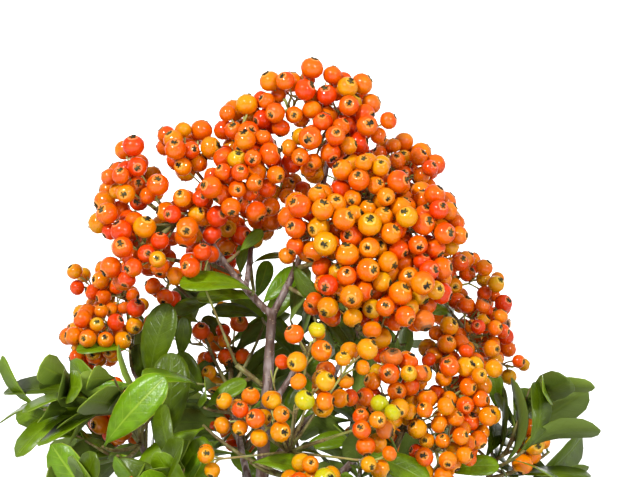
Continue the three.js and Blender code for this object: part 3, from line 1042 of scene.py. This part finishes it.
# The dry sepals close over the berry's tip.
def makeCalyxShape():
    deselectAll()
    corners, height = 2 * calyxForm["sepals"], calyxForm["height"]
    bpy.ops.mesh.primitive_circle_add(vertices=corners, radius=calyxForm["radius"], fill_type="TRIFAN",
                                      location=(0, 0, height))
    shape = bpy.context.object
    shape.name = "calyxShape"
    bpy.ops.object.transform_apply(location=True, rotation=True, scale=True)
    places = [tuple(point.co) for point in shape.data.vertices[:corners]]
    inner = sorted(places, key=lambda place: math.atan2(place[1], place[0]))[1::2]
    selectPoints(shape, lambda point: tuple(point) in inner)
    bpy.ops.transform.resize(value=(calyxForm["notch"], calyxForm["notch"], 1),
                             center_override=(0, 0, height))
    selectPoints(shape, lambda point: math.hypot(point.x, point.y) > 0.25)
    bpy.ops.transform.translate(value=(0, 0, calyxForm["lift"]))
    selectPoints(shape, lambda point: math.hypot(point.x, point.y) < 0.01)
    bpy.ops.transform.translate(value=(0, 0, calyxForm["peak"]))
    bpy.ops.object.mode_set(mode="OBJECT")
    rind = shape.modifiers.new("rind", "SOLIDIFY")
    rind.thickness = calyxForm["thickness"]
    rind.offset = 0
    applyAll(shape)
    return shape


# One of the two tilts of a berry also says how far its copy is spun round its axis.
def berryCopy(berry, tilt, widening=1.0):
    spin, way = berry["tilt"][tilt] * berryForm["spin"], berry["way"]
    side, rise = squareTo(way)
    across = (side * math.cos(spin) + rise * math.sin(spin)) * widening
    return berry["place"], np.array([across, np.cross(way, across), way]) * berry["radius"]


def makeBerries():
    berries = settleBerries(plantBerries())
    stalks = makeStalks(berries)
    shape, star = makeBerryShape(), makeCalyxShape()
    for kind in fruitColours:
        copies = [berryCopy(berry, 0) for berry in berries if berry["kind"] == kind]
        newPiece(kind + "Berries", copiesMesh(shape, copies), kind, sprayNodes)
    copies = [berryCopy(berry, 1, 1 + calyxForm["unevenness"] * berry["tilt"][0]) for berry in berries]
    newPiece("calyxStars", copiesMesh(star, copies), "calyx", sprayNodes)
    newPiece("berryStalks", tubesMesh(stalks), "stalk", sprayNodes)
    bpy.data.objects.remove(shape)
    bpy.data.objects.remove(star)
    print(len(berries), "berries")
    return berries


berries = makeBerries()

leafing = {
    "width": 0.43,  # of the length
    "stalk": 0.09,
    "stalkWidth": 0.07,  # of the width
    "taper": 0.7,  # how fast the blade widens from its stalk
    "roundness": 2.5,  # how late it closes at the tip
    "breadth": 1.6,
    "crowding": 1.4,  # of the columns towards the tip
    "wave": 0.03,  # of the margin, on a leaf of eight columns
    "thickness": 0.011,
    "length": 37,
    "shortest": 0.62,
    "gap": 4.0,  # between the leaves of a shoot
    "firstLeaf": 0.15,  # where it stands along the shoot
    "lean": (32, 74),  # degrees from the shoot
    "tipLean": (0, 25),
    "roll": (-35, 35),
    "tries": 4,  # at a leaf that fits
    "tryTurn": 2.1,
    "late": (2, 0.8),  # from which try on leaves are smaller, and their size
    "outward": 0.85,  # where an upper side looks
    "upward": 0.6,
    "offLimbs": 0.7,
    "offFruit": 0.35,
    "offLeaves": 1.3,
}
shootPlan = {
    "start": (0.15, 0.95),  # along the twig that it leaves
    "lean": (35, 85),
    "length": (0.55, 1.05),  # of the spray's reach
    "lift": (0.0, 0.3),
    "behind": 0.25,
    "inside": 1.0,  # how deep in its spray's space it stays
    "offFruit": 0.8,
}
twigPlan = {
    "spray": ((bough["tipRadius"], 1.05, 1.0), 8),  # radii from foot to tip, and sides
    "corymb": ((1.0, 0.92, 0.82), 7),
    "shoot": ((0.85, 0.45), 6),
    "broad": ((0.95, 0.5), 7),
    "corymbStations": (0, 0.25, 0.45),  # from the fork to a corymb's middle
    "knee": 0.6,  # of a broad leaf's twig
    "sag": 0.12,
    "end": 1.04,  # a little way into the leaf
}

leafForms = {  # fold, arch, twist in degrees, columns and rows of faces
    "flatLeaf": (0.10, 0.05, 0, 8, 2),
    "archedLeaf": (0.16, 0.16, 8, 8, 2),
    "foldedLeaf": (0.34, 0.09, -14, 8, 2),
    "broadLeaf": (0.16, 0.1, 6, 18, 4),
}
shootForms = ("flatLeaf", "archedLeaf", "foldedLeaf")  # dealt in equal shares

# Single leaves that stand out: root, tip, where the upper side looks, tint.
broadLeaves = [
    ((-55, -36, 198), (-33, -40, 223), (-0.1, -1, 0.25), "bright"),
    ((-4, -6, 251), (-31, -14, 254), (0, -0.55, 0.85), "mid"),
    ((-2, 12, 245), (13, 16, 259), (0, -1, 0.3), "bright"),
    ((-10, 2, 266), (-1, 2, 274), (0, -1, 0.1), "mid"),
    ((11, -12, 262), (19, -16, 249), (-0.5, -1, 0), "dark"),
    ((-48, -48, 197), (-33, -50, 188), (0, -1, 0.3), "dark"),
    ((-47, -20, 218), (-64, -20, 214), (0, -1, 0.4), "bright"),
    ((-20, -30, 204), (-43, -34, 186), (0, -0.7, 0.7), "mid"),
    ((-37, -4, 193), (-35, -4, 228), (0.2, -1, 0), "dark"),
    ((109, 8, 188), (98, 8, 213), (0.2, -1, 0), "dark"),
    ((-3, -44, 194), (20, -46, 191), (0, -0.6, 0.8), "mid"),
    ((35, -30, 195), (59, -34, 185), (0, -0.8, 0.6), "mid"),
    ((20, -2, 248), (33, -4, 231), (0, -1, 0.2), "dark"),
    ((-21, -18, 209), (-6, -20, 219), (0, -0.8, 0.6), "mid"),
    ((-2, 22, 239), (-22, 20, 242), (0, -0.6, 0.8), "dark"),
    ((-45, 8, 214), (-37, 4, 246), (-0.3, -1, 0), "dark"),
    ((-25, 20, 209), (-35, 18, 226), (0, -1, 0.3), "dark"),
    ((-53, 10, 227), (-73, 6, 228), (0, -0.5, 0.9), "mid"),
    ((-54, -10, 212), (-68, -12, 218), (0, -0.9, 0.4), "bright"),
    ((-34, 36, 205), (-23, 34, 221), (0.2, -1, 0.2), "dark"),
    ((-10, 48, 205), (-17, 46, 226), (0, -1, 0.2), "dark"),
    ((-28, 35, 236), (-45, 32, 243), (0, -0.8, 0.6), "mid"),
    ((-5, 10, 247), (-27, 10, 248), (0, -0.6, 0.8), "mid"),
    ((-35, 20, 223), (-33, 18, 240), (0.5, -1, 0), "dark"),
    ((-11, 30, 256), (-9, 28, 270), (-0.4, -1, 0), "mid"),
    ((-6, 20, 261), (8, 20, 264), (0, -0.5, 0.9), "mid"),
    ((-5, 30, 246), (0, 30, 262), (0.2, -1, 0), "bright"),
    ((92, 25, 202), (90, 22, 218), (0, -1, 0.2), "mid"),
    ((-50, 25, 212), (-52, 22, 229), (0.3, -1, 0), "dark"),
    ((-21, 20, 246), (-37, 20, 242), (0, -0.9, 0.5), "dark"),
    ((66, -10, 184), (87, -12, 187), (0, -0.8, 0.6), "mid"),
    ((40, 76, 226), (34, 103, 224), (0, 0.3, 1), "mid"),
    ((60, 76, 224), (66, 101, 220), (0.2, 0.3, 1), "dark"),
    ((48, 82, 266), (50, 104, 275), (0, -0.3, 1), "mid"),
    ((16, 45, 201), (17, 44, 225), (0.2, -1, 0.2), "mid"),
    ((7, 45, 188), (14, 44, 210), (-0.2, -1, 0.2), "dark"),
    ((-2, 30, 235), (10, 28, 252), (0, -1, 0.3), "mid"),
    ((0, 30, 237), (-15, 28, 249), (0, -0.9, 0.5), "mid"),
    ((-16, 50, 224), (-28, 48, 238), (0, -1, 0.4), "dark"),
    ((13, 20, 187), (32, 18, 192), (0, -0.8, 0.6), "mid"),
    ((10, 25, 183), (-6, 24, 192), (0, -0.9, 0.5), "dark"),
    ((0, 25, 172), (-14, 24, 186), (0, -0.9, 0.5), "mid"),
    ((11, 30, 223), (1, 28, 239), (0.2, -1, 0.2), "dark"),
]
openings = [  # boxes that no ordinary leaf reaches into
    ((-13, -60, 205), (10, -1, 275)),  # before the fork
    ((-62, -60, 244), (-34, 10, 264)),  # under the left corymbs
    ((-27, -60, 222), (-13, 22, 250)),  # before the inner fruit
    ((-88, -60, 232), (-50, 8, 262)),  # before the left shoulder
    ((50, -40, 286), (80, 40, 310)),  # over the right corymbs
    ((-38, -60, 238), (-14, -12, 262)),  # before the broad leaf beside the fork
    ((-60, -60, 246), (-44, 60, 258)),  # through the left shoulder
    ((54, -60, 225), (64, 60, 234)),  # under the right corymbs
]

greenery = {  # shares of each colour in a spray, in the order of leafColours
    "dark": (0.72, 0.25, 0.03),
    "mid": (0.36, 0.48, 0.16),
    "bright": (0.22, 0.4, 0.38),
}


def halfWidth(along):
    share = max(along - leafing["stalk"], 0) / (1 - leafing["stalk"])
    width = share ** leafing["taper"] * math.sqrt(1 - share ** leafing["roundness"])
    return max(leafing["breadth"] * width, leafing["stalkWidth"])


def makeLeafShape(name, fold, arch, twist, columns, rows):
    deselectAll()
    bpy.ops.mesh.primitive_grid_add(x_subdivisions=columns, y_subdivisions=rows, size=1,
                                    location=(0.5, 0, 0), calc_uvs=True)
    shape = bpy.context.object
    shape.name = name
    bpy.ops.object.transform_apply(location=True, rotation=True, scale=True)
    for row in range(1, rows // 2 + 1):
        out = row / rows
        selectPoints(shape, lambda point: abs(abs(point.y) - out) < 0.01)
        bpy.ops.transform.translate(value=(0, 0, fold * out * (1.1 - 0.4 * out)))
    for column in range(columns, -1, -1):  # from the tip, so that no moved column meets the next
        even = column / columns
        along = 1 - (1 - even) ** leafing["crowding"]
        selectPoints(shape, lambda point: abs(point.x - even) < 0.01)
        bpy.ops.transform.translate(value=(along - even, 0, 0))
        wave = 1 + leafing["wave"] * (-1) ** column * 8 / columns
        width = leafing["width"] * halfWidth(along) * wave
        middle = (along, 0, 0)
        bpy.ops.transform.resize(value=(1, width, width), center_override=middle)
        bpy.ops.transform.rotate(value=math.radians(twist * along), orient_axis="X",
                                 center_override=middle)
        bpy.ops.transform.translate(value=(0, 0, arch * math.sin(math.pi * along**0.8)))
    bpy.ops.object.mode_set(mode="OBJECT")
    blade = shape.modifiers.new("blade", "SOLIDIFY")
    blade.thickness = leafing["thickness"]
    blade.offset = 0
    applyAll(shape)
    under = shape.data.attributes.new("underside", "FLOAT", "FACE")
    for mark, face in zip(under.data, shape.data.polygons):
        mark.value = 1.0 if face.normal.z < -0.3 else 0.0
    return shape


# The upper sides of leaves look outward from the stem and up.
def lookOut(place):
    outward = unit(vec((place[0] + 0.01, place[1], 0)))
    return outward * leafing["outward"] + vec((0, 0, leafing["upward"]))


# A blade turns its upper side to where it looks, as far as its own direction lets it.
def leafAxes(way, facing, roll, length):
    across = unit(np.cross(facing, way))
    normal = np.cross(way, across)
    across = across * math.cos(roll) + normal * math.sin(roll)
    return np.array([way, across, np.cross(way, across)]) * length


# Points on a leaf of length 1 that stand for it where leaves are fitted in.
probes = np.array([(along, side * leafing["width"] / 2 * 0.8, 0.06)
                   for along in (0.16, 0.35, 0.55, 0.75, 0.97) for side in (-1, 0, 1)])


def fruitGap(points, fruit):
    places, radii = fruit
    return (lengths(points[:, None] - places) - radii).min() if len(places) else math.inf


def leafFits(points, site):
    if depthInSpace(points, site["owner"]).min() < 0 or inAnyBox(points, openings):
        return False
    if not clearOfLimbs(points[3:], leafing["offLimbs"]):
        return False
    if fruitGap(points, site["fruit"]) < leafing["offFruit"]:
        return False
    grown = site["grown"]
    return not grown or lengths(points[3:, None] - np.concatenate(grown)).min() >= leafing["offLeaves"]


# A leafy shoot leaves the spray's stem or one of its corymbs' shoots and bends up to the light.
def makeShoots(spray, plan, random):
    twigs = [(plan["foot"], plan["fork"])] + [(plan["fork"], middle) for middle, *_ in plan["heads"]]
    front = direction(*spray["faces"])
    for i in range(spray["shoots"]):
        start, end = twigs[i % len(twigs)]
        foot = mix(start, end, random(*shootPlan["start"]))
        lean = math.radians(random(*shootPlan["lean"]))
        way = aroundAxis(unit(end - start), lean, goldenAngle * i + random())
        if len(plan["heads"]) > 1:  # leaves stand behind the corymbs
            way = unit(way - front * max(way.dot(front) + shootPlan["behind"], 0))
        length = spray["reach"] * random(*shootPlan["length"])
        tip = foot + way * length + vec((0, 0, length * random(*shootPlan["lift"])))
        yield bend(foot, foot + way * length * 0.5, tip), length


# A leaf that doesn't fit is tried again farther round, and smaller in the end.
def growLeaf(place, run, number, atTip, site):
    random = site["random"]
    late, smaller = leafing["late"]
    for attempt in range(leafing["tries"]):
        lean = math.radians(random(*leafing["tipLean" if atTip else "lean"]))
        turn = goldenAngle * (number + leafing["tryTurn"] * attempt) + random(0, 0.6)
        way = aroundAxis(run, lean, turn)
        size = leafing["length"] * random(leafing["shortest"], 1) * (1.0 if attempt < late else smaller)
        axes = leafAxes(way, lookOut(place), math.radians(random(*leafing["roll"])), size)
        points = place + probes @ axes
        if leafFits(points, site):
            site["grown"].append(points)
            form = shootForms[int(random(0, len(shootForms) - 0.01))]
            tint = deal(leafColours, greenery[site["green"]], random())
            return {"place": place, "axes": axes, "form": form, "tint": tint}
    return None


# A shoot stops short of a berry and of the edge of its spray's space, and it ends at its last leaf.
def growShoot(path, length, site):
    leaves, reached = [], 0
    shares = np.linspace(leafing["firstLeaf"], 1, max(int(length / leafing["gap"]), 2))
    for number, share in enumerate(shares):
        place = path(share)
        inside = insideSpace(place, site["owner"], shootPlan["inside"])
        if not inside or fruitGap(place[None], site["fruit"]) < shootPlan["offFruit"]:
            break
        run = unit(path(min(share + 0.05, 1.05)) - path(share - 0.05))
        leaf = growLeaf(place, run, number, share == 1, site)
        if leaf:
            leaves.append(leaf)
            reached = share
    return leaves, reached


# A tapering twig with as many stations as sides.
def twigAlong(path, end, radii, sides):
    points = np.array([path(share) for share in np.linspace(0, end, sides)])
    return points, np.linspace(*radii, sides), sides


# A broad leaf stands on a twig from the nearest limb.
def growBroadLeaves():
    leaves, twigs, taken = [], [], []
    for root, tip, facing, tint in broadLeaves:
        root, run = vec(root), vec(tip) - vec(root)
        length = np.linalg.norm(run)
        axes = leafAxes(run / length, vec(facing), 0, length)
        leaves.append({"place": root, "axes": axes, "form": "broadLeaf", "tint": tint})
        taken.append(root + probes @ axes)
        foot = limbPoints[lengths(limbPoints - root).argmin()]
        sag = twigPlan["sag"] * np.linalg.norm(root - foot)
        knee = mix(foot, root, twigPlan["knee"]) + vec((0, 0, -sag))
        twigs.append(twigAlong(bend(foot, knee, root), twigPlan["end"], *twigPlan["broad"]))
    return leaves, twigs, taken


# The twigs that carry a spray's corymbs, as far as the corymbs' own shoots.
def sprayTwigs(plan):
    foot, fork = plan["foot"], plan["fork"]
    yield np.array([foot, mix(foot, fork, 0.5), fork]), *twigPlan["spray"]
    radii, sides = twigPlan["corymb"]
    for middle, _, count in plan["heads"]:
        points = np.array([mix(fork, middle, share) for share in twigPlan["corymbStations"]])
        yield points, np.array(radii) * stoutness(count), sides


def growLeaves():
    leaves, twigs, taken = growBroadLeaves()
    for owner, (spray, plan) in enumerate(zip(sprays, plans)):
        random = seededRandom(100 + owner)
        own = [berry for berry in berries if berry["owner"] == owner]
        site = {"owner": owner, "green": spray["green"], "grown": list(taken), "random": random,
                "fruit": (gather(own, "place"), gather(own, "radius"))}
        twigs.extend(sprayTwigs(plan))
        for path, length in makeShoots(spray, plan, random):
            grown, reached = growShoot(path, length, site)
            leaves.extend(grown)
            if grown:
                twigs.append(twigAlong(path, reached, *twigPlan["shoot"]))
    return leaves, twigs


def makeLeaves():
    leaves, twigs = growLeaves()
    shapes = {name: makeLeafShape(name, *form) for name, form in leafForms.items()}
    for tint in leafColours:
        made = []
        for form, shape in shapes.items():
            copies = [(leaf["place"], leaf["axes"]) for leaf in leaves
                      if (leaf["tint"], leaf["form"]) == (tint, form)]
            if copies:
                name = tint + form[0].upper() + form[1:]
                made.append(newPiece(name, copiesMesh(shape, copies), tint, sprayNodes))
        selectOnly(*made)
        bpy.ops.object.join()
        made[0].name = tint + "Leaves"
    newPiece("twigs", tubesMesh(twigs), "twig", sprayNodes)
    for shape in shapes.values():
        bpy.data.objects.remove(shape)
    print(len(leaves), "leaves")


makeLeaves()
